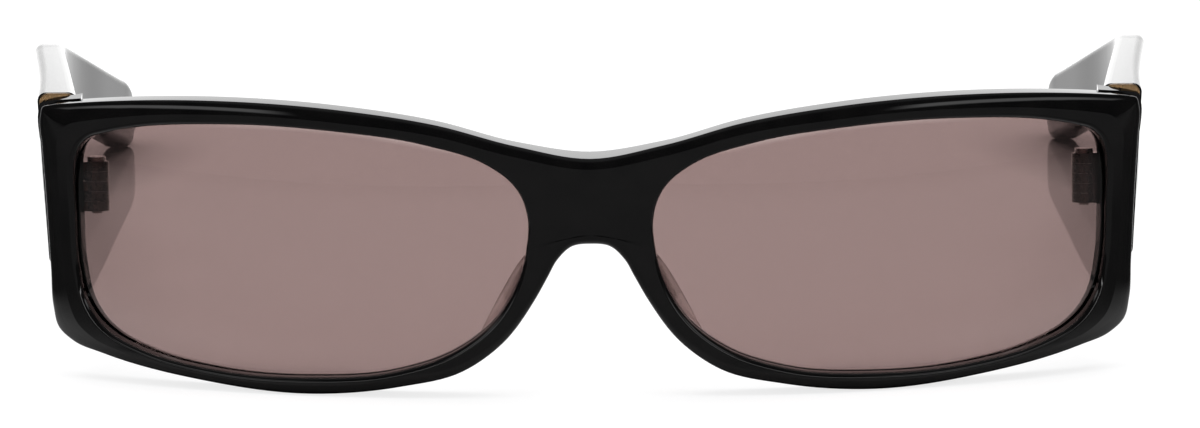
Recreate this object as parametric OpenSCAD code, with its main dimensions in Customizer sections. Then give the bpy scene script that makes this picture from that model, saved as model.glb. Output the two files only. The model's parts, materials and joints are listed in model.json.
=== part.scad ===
// Square full-rim sunglasses: a bent sheet front with two tinted lenses, and two folding temples.
// The front is drawn upright: X runs across the face, Y runs back towards the ears, Z runs up,
// and Z = 0 is the middle of the lens openings. The whole is then tilted back until it stands on
// its two lower rims and its two temple tips, with Z = 0 on the table.

/* [Front] */
// Width of one lens opening
lens_w = 59.8; // [56:0.2:63]
// Height of one lens opening
lens_h = 32.8; // [30:0.2:36]
// Gap between the two lens openings, across the nose
bridge_gap = 16.2; // [15:0.2:19]
// Height of the bridge from the nose arch to the brow
bridge_h = 11.3; // [9:0.1:13]
// Height of the nose arch above the middle of the lenses
arch_z = 0.8; // [0:0.1:2]
// Width of the rim above a lens
rim_top_w = 2.85; // [2.7:0.05:4]
// Width of the rim below a lens
rim_bottom_w = 2.95; // [2.6:0.05:4]
// Width of the rim beside a lens, at the temple
rim_side_w = 4.5; // [3.9:0.1:6]
// Thickness of the sheet that the rims are cut from
rim_t = 4.2; // [4:0.1:5]
// Thickness of the bridge
bridge_t = 6; // [4.5:0.1:7]
// Radius that each half of the front is bent to
wrap_r = 130; // [110:1:180]
// Half width of the middle part that stays flat
wrap_flat = 14; // [12:0.5:16]
// Width of the bevel along the outer edge of the face, at the bridge
face_bevel_w = 1.3; // [0.8:0.1:1.4]
// Depth of the bevel along the outer edge of the face
face_bevel_d = 0.9; // [0.6:0.1:1.1]
// Width of the bevel round each lens opening
lens_bevel_w = 0.7; // [0.5:0.05:0.8]
// Depth of the bevel round each lens opening
lens_bevel_d = 0.6; // [0.4:0.05:0.75]
// Round-off of all edges at the back
back_bevel = 0.5; // [0.3:0.05:0.6]

/* [Lenses] */
// Radius of the spherical lens blank, at the middle of its thickness
lens_r = 108; // [100:1:120]
// Thickness of a lens
lens_t = 1.6; // [1.4:0.1:1.8]
// Depth of the groove that holds the lens
groove_d = 0.9; // [0.8:0.05:1]
// Depth that the lens edge reaches into its groove
lens_seat = 0.6; // [0.4:0.05:0.65]

/* [Nose pads] */
// Height of a nose pad along the nose edge
pad_h = 11.5; // [9:0.5:13]
// Distance from the top of a pad down to the nose arch
pad_below_arch = 1.4; // [1.2:0.1:3]
// How far a pad stands out behind the rim
pad_d = 5.6; // [4:0.1:7]
// How far the back edge of a pad leans outwards
pad_lean = 2.2; // [1:0.1:3]
// Thickness of a pad at its back edge
pad_edge_t = 1.5; // [1:0.1:2]

/* [Hinges] */
// Distance from the outer end of the front in to a hinge pin
hinge_inset = 7.8; // [7.2:0.1:8.2]
// Distance from the face back to a hinge pin
hinge_back = 6.2; // [5.7:0.1:7.2]
// Height of the middle of the hinges above the middle of the lenses
hinge_z = 5.9; // [4:0.1:8]
// Lean of the temples down from square to the front
temple_lean = 6.6; // [4:0.1:10]
// Radius of the hinge barrels
barrel_r = 1.6; // [1.4:0.05:1.7]
// Height of one of the five barrels
barrel_h = 1.3; // [1.1:0.05:1.5]
// Gap from the barrels out to the endpiece and the temple
barrel_out = 0.45; // [0.3:0.05:1]
// Diameter of the hinge screw
screw_d = 1.4; // [1.2:0.05:1.6]
// Diameter of the screw head
screw_head_d = 2.4; // [2:0.1:2.6]
// Height of the screw head above the top barrel
screw_head_h = 0.6; // [0.4:0.05:0.8]
// Thickness of the hinge leaves
leaf_t = 1.1; // [0.9:0.05:1.3]
// Length of the leaf along the temple
leaf_l = 9.5; // [8:0.5:11]
// Depth that the anchor feet of the leaves reach into the acetate
anchor_d = 1; // [0.7:0.05:1.2]

/* [Temples] */
// Length of a temple from the hinge pin to its tip
temple_l = 127.2; // [124:0.1:130]
// Height of a temple at its front end
butt_h = 23; // [20:0.5:24.5]
// Thickness of a temple at its front end
butt_t = 5.3; // [4.8:0.1:5.8]
// Cant of a temple's front end: how much further in its lower edge lies than its upper edge
butt_cant = 1.4; // [0:0.1:1.8]
// Height of the slim part of a temple
arm_h = 9.6; // [8:0.1:12]
// Thickness of the slim part of a temple
arm_t = 4.2; // [3.6:0.1:4.5]
// Height of the temple's top edge above the middle of the hinge
temple_top = 12.2; // [11:0.1:13]
// Outward spread of a temple from its front end to the ear
splay = 7.3; // [5:0.1:8]
// Inward turn of a temple from the ear to its tip
turn_in = 8.7; // [5:0.1:9.5]
// Drop of the top edge from the ear to the tip
ear_drop = 9.3; // [7:0.1:12]
// Rounding of the long edges of a temple
edge_r = 1.2; // [0.9:0.1:1.5]
// Thickness of the metal plate on the front end of a temple
end_plate_t = 0.8; // [0.6:0.1:1]
// Step from the edge of the temple end in to its plate
end_plate_step = 0.6; // [0.3:0.05:0.7]

/* [Core wires] */
// Height of the flat wire inside a temple
wire_h = 2.6; // [2:0.1:3]
// Thickness of the flat wire inside a temple
wire_t = 1.2; // [0.9:0.1:1.4]

/* [Fits] */
// Radial clearance of the screw in the barrels that turn
pin_clear = 0.05; // [0.03:0.01:0.08]
// Height clearance between two barrels
barrel_gap = 0.05; // [0.03:0.01:0.1]
// Gap between the front and the end of an open temple
joint_gap = 0.12; // [0.1:0.01:0.2]
// Clearance round pieces that are set into the acetate
seat_clear = 0.04; // [0.02:0.01:0.06]
// Clearance of a lens on each side in its groove
lens_clear = 0.06; // [0.04:0.01:0.1]

/* [Hidden] */
$fn = 48;

// Heights and half widths that the outlines follow
eye_x = (bridge_gap + lens_w) / 2;
half_w = eye_x + lens_w / 2 + rim_side_w;
rim_top_z = lens_h / 2 + rim_top_w;
rim_bottom_z = -lens_h / 2 - rim_bottom_w;
brow_z = arch_z + bridge_h;

// Matching points of the outer edge and of the lens opening, clockwise from the middle of the brow.
// Brow rows give the outer point as shares of the half width and of the rise from bridge to rim.
brow_shares = [
    [[0.000, 0.000], [-0.926, 0.552]], [[0.131, 0.238], [-0.835, 0.680]],
    [[0.276, 0.639], [-0.551, 0.858]], [[0.442, 0.890], [-0.166, 0.958]],
    [[0.649, 1.000], [0.334, 0.988]], [[0.856, 0.895], [0.765, 0.906]],
    [[0.943, 0.783], [0.858, 0.860]], [[0.983, 0.713], [0.924, 0.815]]
];
// Side and lower rows give the outer point as shares of the half width and of the rim's height.
side_shares = [
    [[0.996, 0.938], [0.968, 0.736]], [[1.000, 0.913], [0.991, 0.630]],
    [[0.998, 0.799], [0.999, 0.484]], [[0.994, 0.683], [0.995, 0.250]],
    [[0.986, 0.374], [0.982, -0.270]], [[0.983, 0.250], [0.955, -0.501]],
    [[0.973, 0.176], [0.906, -0.656]], [[0.946, 0.133], [0.826, -0.782]],
    [[0.893, 0.100], [0.709, -0.878]], [[0.706, 0.030], [0.361, -1.012]],
    [[0.511, 0.000], [-0.033, -1.039]], [[0.345, 0.031], [-0.417, -0.974]],
    [[0.233, 0.084], [-0.687, -0.800]]
];
// Nose rows give the outer point as shares of half the bridge gap and of the arch's height.
nose_shares = [
    [[1.420, 0.350], [-0.838, -0.588]], [[0.905, 0.631], [-0.945, -0.286]],
    [[0.691, 0.785], [-0.973, -0.140]], [[0.537, 0.896], [-0.985, -0.049]],
    [[0.300, 0.984], [-0.990, 0.012]], [[0.000, 1.000], [-0.995, 0.073]]
];
// Rows on the middle plane give only the point of the opening that faces the bridge.
middle_shares = [[-1.000, 0.201], [-0.988, 0.348], [-0.961, 0.468]];
steps = 3;

function opening_pt(s) = [eye_x + s[0] * lens_w / 2, s[1] * lens_h / 2];
outer_pts = concat(
    [for (r = brow_shares) [r[0][0] * half_w, brow_z + r[0][1] * (rim_top_z - brow_z)]],
    [for (r = side_shares) [r[0][0] * half_w, rim_bottom_z + r[0][1] * (rim_top_z - rim_bottom_z)]],
    [for (r = nose_shares) [r[0][0] * bridge_gap / 2, rim_bottom_z + r[0][1] * (arch_z - rim_bottom_z)]]
);
inner_pts = [for (r = concat(brow_shares, side_shares, nose_shares)) opening_pt(r[1])];
middle_pts = [for (s = middle_shares) opening_pt(s)];

// A smooth curve through points. The first and last point only steer the ends.
function lean_at(p, i) =
    let (a = norm(p[i] - p[i - 1]), b = norm(p[i + 1] - p[i]))
    ((p[i] - p[i - 1]) * b / a + (p[i + 1] - p[i]) * a / b) / (a + b);
function curve_pt(p, i, s) =
    let (d = norm(p[i + 1] - p[i]), s2 = s * s, s3 = s * s * s)
    p[i] * (2 * s3 - 3 * s2 + 1) + p[i + 1] * (3 * s2 - 2 * s3)
    + lean_at(p, i) * d * (s3 - 2 * s2 + s) + lean_at(p, i + 1) * d * (s3 - s2);
function curve(p, n) = concat(
    [for (i = [1 : len(p) - 3]) for (k = [0 : n - 1]) curve_pt(p, i, k / n)], [p[len(p) - 2]]);

function flip(p) = [-p[0], p[1]];
last = len(outer_pts) - 1;
middle_n = len(middle_pts);
outer_curve = curve(concat([flip(outer_pts[1])], outer_pts, [flip(outer_pts[last - 1])]), steps);
inner_curve = curve(concat([middle_pts[middle_n - 1]], inner_pts, [middle_pts[0]]), steps);
outer_loop = concat(outer_curve,
    [for (k = [1 : middle_n]) [0, arch_z + bridge_h * k / (middle_n + 1)]]);
inner_loop = concat(inner_curve, middle_pts);
loop_n = len(outer_loop);
curve_n = len(outer_curve);

// Unit direction at each loop point that leads into the material of the rim
function aside(p, i) =
    let (n = len(p), t = p[(i + 1) % n] - p[(i + n - 1) % n]) [-t[1], t[0]] / norm(t);
inner_in = [for (i = [0 : loop_n - 1]) aside(inner_loop, i)];
outer_in = [for (i = [0 : loop_n - 1])
    i == 0 ? [0, -1] : i == curve_n - 1 ? [0, 1]
    : i >= curve_n ? [0, 1 - 2 * (i - curve_n + 1) / (middle_n + 1)]
    : -aside(outer_loop, i)];

// The bend: a point of the flat drawing at depth w below the face, in space
function bend_a(x) = asin(max(abs(x) - wrap_flat, 0) / wrap_r);
function bend_y(x) = wrap_r * (1 - cos(bend_a(x)));
function bent(p, w) = [p[0] - w * sin(bend_a(p[0])), bend_y(p[0]) + w * cos(bend_a(p[0])), p[1]];
hinge_x = half_w - hinge_inset;
hinge_y = bend_y(hinge_x) + hinge_back;

// The sheet is thicker at the bridge, and thins out towards the rims and down to the pads
thick_share = 0.75;
function fade(s) = (1 + cos(180 * max(min(s, 1), 0))) / 2;
function sheet_t(p) =
    let (across = fade(abs(p[0]) / (thick_share * bridge_gap)),
         down = fade((arch_z - p[1]) / pad_below_arch))
    rim_t + (bridge_t - rim_t) * across * down;

// One loop of the rim's section: inset d from its edge, at depth w from the face,
// or at height w from the back where the depth is counted from there
function inset(edge, into, d) = [for (i = [0 : loop_n - 1]) edge[i] + into[i] * d];
function face_loop(edge, into, d, w) = [for (p = inset(edge, into, d)) bent(p, w)];
function back_loop(edge, into, d, w) = [for (p = inset(edge, into, d)) bent(p, sheet_t(p) - w)];

// The outer bevel of the face. It has one width at the bridge, and further out it widens to a share
// of the rim, so that a flat band of even width is left round the lens.
bevel_share = 0.55;
function outer_part(p) = 1 - fade((p[0] - bridge_gap) / bridge_gap);
function bevel_in(i) = let (m = outer_part(outer_loop[i]))
    (1 - m) * face_bevel_w * outer_in[i] + m * bevel_share * (inner_loop[i] - outer_loop[i]);
function bevel_loop(s, w) = [for (i = [0 : loop_n - 1]) bent(outer_loop[i] + s * bevel_in(i), w)];

// Lens and groove: the groove follows the sphere of the lens through the bent rim
lens_place_share = 0.53;
lens_bulge = lens_r - sqrt(lens_r * lens_r - lens_h * lens_h / 4);
eye_a = bend_a(eye_x);
eye_c = bent([eye_x, 0], lens_place_share * rim_t);
lens_c = eye_c + (lens_r - lens_bulge) * [-sin(eye_a), cos(eye_a), 0];
function lens_depth(p) =
    let (a = bend_a(p[0]), q = bent(p, 0) - lens_c, b = q * [-sin(a), cos(a), 0])
    -b - sqrt(b * b - q * q + lens_r * lens_r);
function lens_loop(edge, into, d, w) = [for (p = inset(edge, into, d)) bent(p, lens_depth(p) + w)];
groove_half = lens_t / 2 + lens_clear;
arc_in = 1 - sin(45);
rim_loops = [
    lens_loop(inner_loop, inner_in, 0, -groove_half),
    lens_loop(inner_loop, inner_in, groove_d, -groove_half),
    lens_loop(inner_loop, inner_in, groove_d, groove_half),
    lens_loop(inner_loop, inner_in, 0, groove_half),
    back_loop(inner_loop, inner_in, 0, back_bevel),
    back_loop(inner_loop, inner_in, back_bevel, 0),
    back_loop(outer_loop, outer_in, back_bevel, 0),
    back_loop(outer_loop, outer_in, 0, back_bevel),
    face_loop(outer_loop, outer_in, 0, face_bevel_d),
    bevel_loop(arc_in, arc_in * face_bevel_d),
    bevel_loop(1, 0),
    face_loop(inner_loop, inner_in, lens_bevel_w, 0),
    face_loop(inner_loop, inner_in, arc_in * lens_bevel_w, arc_in * lens_bevel_d),
    face_loop(inner_loop, inner_in, 0, lens_bevel_d)
];

// A closed tube of loops of equal length, each joined to the next and the last to the first
module ring_of(loops) {
    m = len(loops);
    n = len(loops[0]);
    faces = [for (j = [0 : m - 1]) for (i = [0 : n - 1])
        let (a = j * n + i, b = j * n + (i + 1) % n,
             c = ((j + 1) % m) * n + i, d = ((j + 1) % m) * n + (i + 1) % n)
        each [[a, b, c], [b, d, c]]];
    polyhedron([for (l = loops) each l], faces);
}

// A solid through sections of equal length, closed by its first and last section
module loft(sections) {
    m = len(sections);
    n = len(sections[0]);
    sides = [for (j = [0 : m - 2]) for (i = [0 : n - 1])
        let (a = j * n + i, b = j * n + (i + 1) % n,
             c = (j + 1) * n + i, d = (j + 1) * n + (i + 1) % n)
        each [[a, b, c], [b, d, c]]];
    caps = [[for (i = [n - 1 : -1 : 0]) i], [for (i = [0 : n - 1]) (m - 1) * n + i]];
    polyhedron([for (s = sections) each s], concat(sides, caps));
}

// Frames: the upright front, the eye, and the hinge with its temple. side is 1 or -1.
module both(side) {
    if (side > 0) children();
    else mirror([1, 0, 0]) children();
}
module eye_frame() {
    translate(eye_c) rotate([0, 0, eye_a]) children();
}
module hinge_frame() {
    translate([hinge_x, hinge_y, hinge_z]) rotate([-temple_lean, 0, 0]) children();
}
function to_eye(p) = let (q = p - eye_c) [q[0] * cos(eye_a) + q[1] * sin(eye_a), q[2]];
function from_hinge(y, z) = [hinge_y + y * cos(temple_lean) + z * sin(temple_lean),
                             hinge_z - y * sin(temple_lean) + z * cos(temple_lean)];

// Endpiece: the block behind the corner of the front that the temple closes against. It starts in
// the back of the sheet, behind the groove of the lens.
face_gap = barrel_r + barrel_out;
block_share = 0.8;
cut_over = 1;
module endpiece() {
    intersection() {
        hinge_frame() translate([face_gap, -butt_h / 2, temple_top - butt_h])
            cube([half_w, butt_h / 2, butt_h]);
        translate([0, hinge_y + butt_h / 2, 0]) rotate([90, 0, 0]) linear_extrude(hinge_y + butt_h / 2)
            polygon(inset(outer_loop, outer_in, seat_clear));
        translate([wrap_flat, wrap_r, -lens_h]) cylinder(r = wrap_r - block_share * rim_t, h = 2 * lens_h, $fn = 180);
    }
}

// Hinge sizes
knuckle_n = 5;
stack_h = knuckle_n * barrel_h;
leaf_h = stack_h;
front_leaf_share = 0.65;
module knuckle(i, bore) {
    z = -stack_h / 2 + i * barrel_h + barrel_gap / 2;
    h = barrel_h - barrel_gap;
    translate([0, 0, z]) difference() {
        union() {
            cylinder(r = barrel_r, h = h);
            children(0);
        }
        translate([0, 0, -cut_over]) cylinder(d = bore, h = h + 2 * cut_over);
    }
}

module front_leaf(grow) {
    w = butt_t * front_leaf_share;
    open_by = grow > 0 ? cut_over : 0;
    translate([face_gap - open_by, -leaf_t - grow, -leaf_h / 2 - grow])
        cube([w + grow + open_by, leaf_t + grow + open_by, leaf_h + 2 * grow]);
    translate([face_gap + w / 2 - grow, -leaf_t - anchor_d - grow, -barrel_h - grow])
        cube([w / 3 + 2 * grow, anchor_d + leaf_t, 2 * barrel_h + 2 * grow]);
}
module temple_leaf(grow) {
    open_by = grow > 0 ? cut_over : 0;
    translate([face_gap, joint_gap + leaf_t * sin(leaf_turn), 0]) rotate([0, 0, -leaf_turn]) {
        translate([-open_by, -open_by, -leaf_h / 2 - grow])
            cube([leaf_t + grow + open_by, leaf_l + grow + open_by, leaf_h + 2 * grow]);
        translate([leaf_t - grow, leaf_l / 2 - grow, -barrel_h - grow])
            cube([anchor_d + 2 * grow, leaf_l / 3 + 2 * grow, 2 * barrel_h + 2 * grow]);
    }
}

module front_frame() color([0.03, 0.03, 0.035]) difference() {
    union() {
        ring_of(rim_loops);
        mirror([1, 0, 0]) ring_of(rim_loops);
        endpiece();
        mirror([1, 0, 0]) endpiece();
    }
    for (side = [1, -1]) both(side) hinge_frame() {
        front_leaf(seat_clear);
        translate([0, 0, -stack_h / 2 - screw_head_h])
            cylinder(r = barrel_r + joint_gap, h = stack_h + 3 * screw_head_h);
        translate([face_gap - cut_over, 0, temple_top - butt_h - cut_over])
            cube([half_w, butt_h, butt_h + 2 * cut_over]);
    }
}

// Lens: a spherical shell cut to the outline of its groove
lens_outline = [for (p = lens_loop(inner_loop, inner_in, lens_seat, 0)) to_eye(p)];
module lens(side) color([0.55, 0.42, 0.38, 0.6]) both(side) eye_frame() intersection() {
    translate([0, lens_r - lens_bulge, 0]) difference() {
        sphere(r = lens_r + lens_t / 2, $fn = 240);
        sphere(r = lens_r - lens_t / 2, $fn = 240);
    }
    translate([0, lens_w, 0]) rotate([90, 0, 0]) linear_extrude(2 * lens_w) polygon(lens_outline);
}

// Nose pad: a leaning fin on the back of the rim, beside the nose
pad_shares = [0.02, 0.12, 0.28, 0.5, 0.72, 0.88, 0.98];
pad_round_share = 0.9;
nose_side = [for (i = [len(outer_pts) - 1 : -1 : len(outer_pts) - len(nose_shares) - 2]) i];
function nose_x(z) = lookup(-z, [for (i = nose_side) [-outer_pts[i][1], outer_pts[i][0]]]);
function open_x(z) = lookup(-z, [for (i = nose_side) [-inner_pts[i][1], inner_pts[i][0]]]);
function pad_section(s) =
    let (z = arch_z - pad_below_arch - pad_h * s, out = sqrt(sin(180 * s)),
         a = nose_x(z) + back_bevel, b = open_x(z) - back_bevel, m = (a + b) / 2,
         d = pad_d * out, c = m + pad_lean * out, h = pad_edge_t / 2)
    [[a, rim_t, z], [b, rim_t, z], [(b + c + h) / 2, rim_t + d / 2, z],
     [c + h, rim_t + d * pad_round_share, z],
     [c, rim_t + d, z], [c - h, rim_t + d * pad_round_share, z],
     [(a + c - h) / 2, rim_t + d / 2, z]];
module nose_pad(side) color([0.8, 0.78, 0.75, 0.5]) both(side)
    loft([for (s = pad_shares) pad_section(s)]);

// Hinges
module front_hinge(side) color([0.3, 0.29, 0.28]) both(side) hinge_frame() {
    front_leaf(0);
    for (i = [0 : 2 : knuckle_n - 1]) knuckle(i, screw_d)
        translate([0, -leaf_t, 0]) cube([face_gap + leaf_t, leaf_t, barrel_h - barrel_gap]);
}
module temple_hinge(side) color([0.3, 0.29, 0.28]) both(side) hinge_frame() {
    temple_leaf(0);
    for (i = [1 : 2 : knuckle_n - 2]) knuckle(i, screw_d + 2 * pin_clear)
        translate([0, joint_gap, 0]) cube([face_gap + leaf_t / 2, leaf_t, barrel_h - barrel_gap]);
}
module hinge_screw(side) color([0.5, 0.5, 0.5]) both(side) hinge_frame() difference() {
    union() {
        translate([0, 0, -stack_h / 2 - screw_head_h / 2]) cylinder(d = screw_d, h = stack_h + screw_head_h);
        translate([0, 0, stack_h / 2]) cylinder(d = screw_head_d, h = screw_head_h);
    }
    translate([-screw_head_d, -screw_head_h / 4, stack_h / 2 + screw_head_h / 2])
        cube([2 * screw_head_d, screw_head_h / 2, screw_head_h]);
}

// Temple: sections along Y from the front end to the tip. Each row gives shares of the length,
// of the splay, of the turn inwards, of the ear's drop, of the extra size of the front end,
// and of the full section, which closes to a round tip.
temple_shares = [
    [0.000, 0.000, 0.00, 0.000, 1.00, 1.00], [0.040, 0.054, 0.00, 0.000, 0.90, 1.00],
    [0.120, 0.163, 0.00, 0.000, 0.68, 1.00], [0.250, 0.339, 0.00, 0.000, 0.38, 1.00],
    [0.450, 0.611, 0.00, 0.000, 0.13, 1.00], [0.620, 0.842, 0.00, 0.000, 0.03, 1.00],
    [0.670, 0.908, 0.00, 0.000, 0.00, 1.00], [0.725, 0.978, 0.03, 0.040, 0.00, 1.00],
    [0.770, 1.000, 0.13, 0.160, 0.00, 1.00], [0.880, 1.000, 0.54, 0.565, 0.00, 1.00],
    [0.953, 1.000, 0.815, 0.83, 0.00, 1.00], [0.970, 1.000, 0.88, 0.890, 0.00, 1.00],
    [0.983, 1.000, 0.93, 0.940, 0.00, 0.92], [0.992, 1.000, 0.97, 0.970, 0.00, 0.71],
    [0.997, 1.000, 0.99, 0.990, 0.00, 0.45], [1.000, 1.000, 1.00, 1.000, 0.00, 0.20]
];
temple_steps = 2;
temple_y = joint_gap + end_plate_t;
butt_x = face_gap + butt_t / 2;
function temple_row(r) =
    let (h = arm_h + (butt_h - arm_h) * r[4], t = arm_t + (butt_t - arm_t) * r[4])
    [temple_y + r[0] * (temple_l - temple_y), butt_x + splay * r[1] - turn_in * r[2],
     temple_top - ear_drop * r[3] - h / 2, h * r[5], t * sqrt(r[5])];
temple_rows = [for (r = temple_shares) temple_row(r)];
temple_path = curve(concat([2 * temple_rows[0] - temple_rows[1]], temple_rows,
    [2 * temple_rows[len(temple_rows) - 1] - temple_rows[len(temple_rows) - 2]]), temple_steps);
function inner_face(q) = q[1] - q[4] / 2;
leaf_turn = atan((inner_face(temple_rows[2]) - inner_face(temple_rows[0]))
    / (temple_rows[2][0] - temple_rows[0][0]));
corner_a = [0, 30, 60, 90];
tip_share = 0.9;
function oblong(h, t, r) = [for (c = [[1, 1, 0], [-1, 1, 90], [-1, -1, 180], [1, -1, 270]])
    for (a = corner_a) [c[0] * (t / 2 - r) + r * cos(a + c[2]), c[1] * (h / 2 - r) + r * sin(a + c[2])]];
function canted(x, z, h) = x + butt_cant * z / butt_h * max(h - arm_h, 0) / (butt_h - arm_h);
function temple_section(q) =
    [for (p = oblong(q[3], q[4], min(edge_r, tip_share * q[4] / 2)))
        [canted(q[1] + p[0], q[2] + p[1], q[3]), q[0], q[2] + p[1]]];

// Core wire: a flat strip along the middle of the temple, behind the leaf
wire_steps = [4, 20];
function wire_section(q, grow) = let (a = wire_t / 2 + grow, b = wire_h / 2 + grow)
    [for (c = [[1, 1], [-1, 1], [-1, -1], [1, -1]]) [q[1] + c[0] * a, q[0], q[2] + c[1] * b]];
function wire_end(i) = i == wire_steps[1] ? 1 : i == wire_steps[0] ? -1 : 0;
module wire_shape(grow) {
    loft([for (i = [wire_steps[0] : wire_steps[1]])
        wire_section(temple_path[i] + [grow * wire_end(i), 0, 0, 0, 0], grow)]);
}

module temple(side) color([0.03, 0.03, 0.035]) both(side) hinge_frame() difference() {
    loft([for (q = temple_path) temple_section(q)]);
    wire_shape(seat_clear);
    temple_leaf(seat_clear);
}
module core_wire(side) color([0.6, 0.6, 0.6]) both(side) hinge_frame() wire_shape(0);

module temple_end_plate(side) color([0.45, 0.32, 0.18]) both(side) hinge_frame() difference() {
    translate([0, temple_y, 0]) rotate([90, 0, 0]) linear_extrude(end_plate_t)
        polygon([for (p = oblong(butt_h - 2 * end_plate_step, butt_t - 2 * end_plate_step,
                edge_r - end_plate_step))
            let (z = temple_rows[0][2] + p[1]) [canted(butt_x + p[0], z, butt_h), z]]);
    temple_leaf(seat_clear);
}

// Standing: the tilt that puts the lower rims and the temple tips on one level
foot_x = [for (r = side_shares) if (r[0][1] == 0) r[0][0]][0] * half_w;
rim_foot = [bent([foot_x, 0], rim_t - back_bevel)[1], rim_bottom_z];
tip_low = [for (q = temple_path) from_hinge(q[0], q[2] - q[3] / 2)];
function tilt_to(p) = atan((p[1] - rim_foot[1]) / (p[0] - rim_foot[0]));
stand_tilt = min([for (p = tip_low) if (p[0] > temple_l / 2) tilt_to(p)]);
function tilted(p) = [p[0] * cos(stand_tilt) + p[1] * sin(stand_tilt),
                      p[1] * cos(stand_tilt) - p[0] * sin(stand_tilt)];
rim_ends = [for (l = rim_loops) for (p = l) tilted([p[1], p[2]])];
arm_ends = [for (q = temple_path) for (p = temple_section(q)) tilted(from_hinge(p[1], p[2]))];
stand_z = -min([for (p = concat(rim_ends, arm_ends)) p[1]]);
stand_y = -(min([for (p = rim_ends) p[0]]) + max([for (p = arm_ends) p[0]])) / 2;
module stand() {
    translate([0, stand_y, stand_z]) rotate([-stand_tilt, 0, 0]) children();
}

stand() front_frame();
stand() lens(1);  // lens_left
stand() lens(-1);  // lens_right
stand() nose_pad(1);  // nose_pad_left
stand() nose_pad(-1);  // nose_pad_right
stand() front_hinge(1);  // front_hinge_left
stand() front_hinge(-1);  // front_hinge_right
stand() temple_hinge(1);  // temple_hinge_left
stand() temple_hinge(-1);  // temple_hinge_right
stand() hinge_screw(1);  // hinge_screw_left
stand() hinge_screw(-1);  // hinge_screw_right
stand() temple(1);  // temple_left
stand() temple(-1);  // temple_right
stand() temple_end_plate(1);  // temple_end_plate_left
stand() temple_end_plate(-1);  // temple_end_plate_right
stand() core_wire(1);  // core_wire_left
stand() core_wire(-1);  // core_wire_right
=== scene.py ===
# Square sunglasses: the front, the lenses, the nose pads and the temples are made anew on the
# CAD frame with finer outlines and rounded edges, and so are the end plates. The hinges, screws and
# core wires keep their CAD meshes and get softened edges. Lengths are in mm up to finish_mesh().
import json
import math

import bmesh
import bpy
from mathutils import Matrix, Vector


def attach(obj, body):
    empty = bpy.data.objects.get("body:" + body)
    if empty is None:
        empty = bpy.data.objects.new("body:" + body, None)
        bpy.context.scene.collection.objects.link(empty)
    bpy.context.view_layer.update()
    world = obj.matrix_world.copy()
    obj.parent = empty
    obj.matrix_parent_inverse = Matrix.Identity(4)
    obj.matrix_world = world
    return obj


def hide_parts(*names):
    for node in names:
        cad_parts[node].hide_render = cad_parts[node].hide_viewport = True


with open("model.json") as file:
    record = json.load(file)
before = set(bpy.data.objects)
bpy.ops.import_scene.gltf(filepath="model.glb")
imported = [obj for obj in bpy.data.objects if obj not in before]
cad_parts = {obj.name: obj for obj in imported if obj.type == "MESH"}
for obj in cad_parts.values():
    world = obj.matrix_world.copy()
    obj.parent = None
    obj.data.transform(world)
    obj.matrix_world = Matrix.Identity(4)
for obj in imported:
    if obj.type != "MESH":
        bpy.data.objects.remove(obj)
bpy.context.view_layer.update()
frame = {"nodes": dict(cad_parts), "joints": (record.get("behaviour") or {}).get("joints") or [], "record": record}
MM = 0.001

# Front
LENS_W, LENS_H = 59.8, 32.8
BRIDGE_GAP, BRIDGE_H, ARCH_Z = 16.2, 11.3, 0.8
RIM_TOP_W, RIM_BOTTOM_W, RIM_SIDE_W = 2.85, 2.95, 4.5
RIM_T, BRIDGE_T = 4.2, 6.0
WRAP_R, WRAP_FLAT = 130.0, 14.0
FACE_BEVEL_W, FACE_BEVEL_D, BEVEL_SHARE = 1.3, 0.9, 0.55
LENS_BEVEL_W, LENS_BEVEL_D = 0.7, 0.6
BACK_BEVEL = 0.5
# Lenses
LENS_R, LENS_T = 108.0, 1.6
LENS_PLACE_SHARE = 0.53
GROOVE_D, LENS_SEAT, LENS_CLEAR = 0.9, 0.6, 0.06
# Nose pads
PAD_H, PAD_BELOW_ARCH, PAD_D, PAD_LEAN, PAD_EDGE_T = 11.9, 1.0, 5.6, 1.7, 1.5
PAD_ROUND_SHARE, THICK_SHARE = 0.9, 0.75
# Hinges
HINGE_INSET, HINGE_BACK, HINGE_Z = 7.8, 6.2, 5.9
TEMPLE_LEAN = math.radians(6.6)
BARREL_R, BARREL_H, BARREL_OUT, BARREL_N, JOINT_GAP = 1.6, 1.3, 0.45, 5, 0.12
LEAF_T, LEAF_L = 1.1, 9.5
LEAF_H = BARREL_N * BARREL_H
FRONT_LEAF_SHARE, SEAT_CLEAR = 0.65, 0.04
# Endpieces: where they start in the rim, how far they stand out of it, and what is cut off them
BLOCK_SHARE, BLOCK_PROUD = 0.8, 0.01
BLOCK_SPARE_W, BLOCK_SPARE_H = 1.0, 4.0
# Temples
TEMPLE_L, BUTT_H, BUTT_T, BUTT_CANT, ARM_H, ARM_T = 127.2, 23.0, 5.3, 1.4, 9.6, 4.2
TEMPLE_TOP, SPLAY, TURN_IN, EAR_DROP = 12.2, 7.3, 8.7, 9.3
EDGE_R, TIP_SHARE = 1.2, 0.9
# End plates: how much narrower than the temple they are, and the depths and insets of the edge
END_PLATE_T, PLATE_NARROWER = 0.8, 0.5
PLATE_EDGE = [(0, 0.16), (0.03, 0.08), (0.1, 0.04), (END_PLATE_T, 0.04)]
# Widths of softened edges
SOFT_ACETATE, SOFT_METAL = 0.15, 0.08

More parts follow.
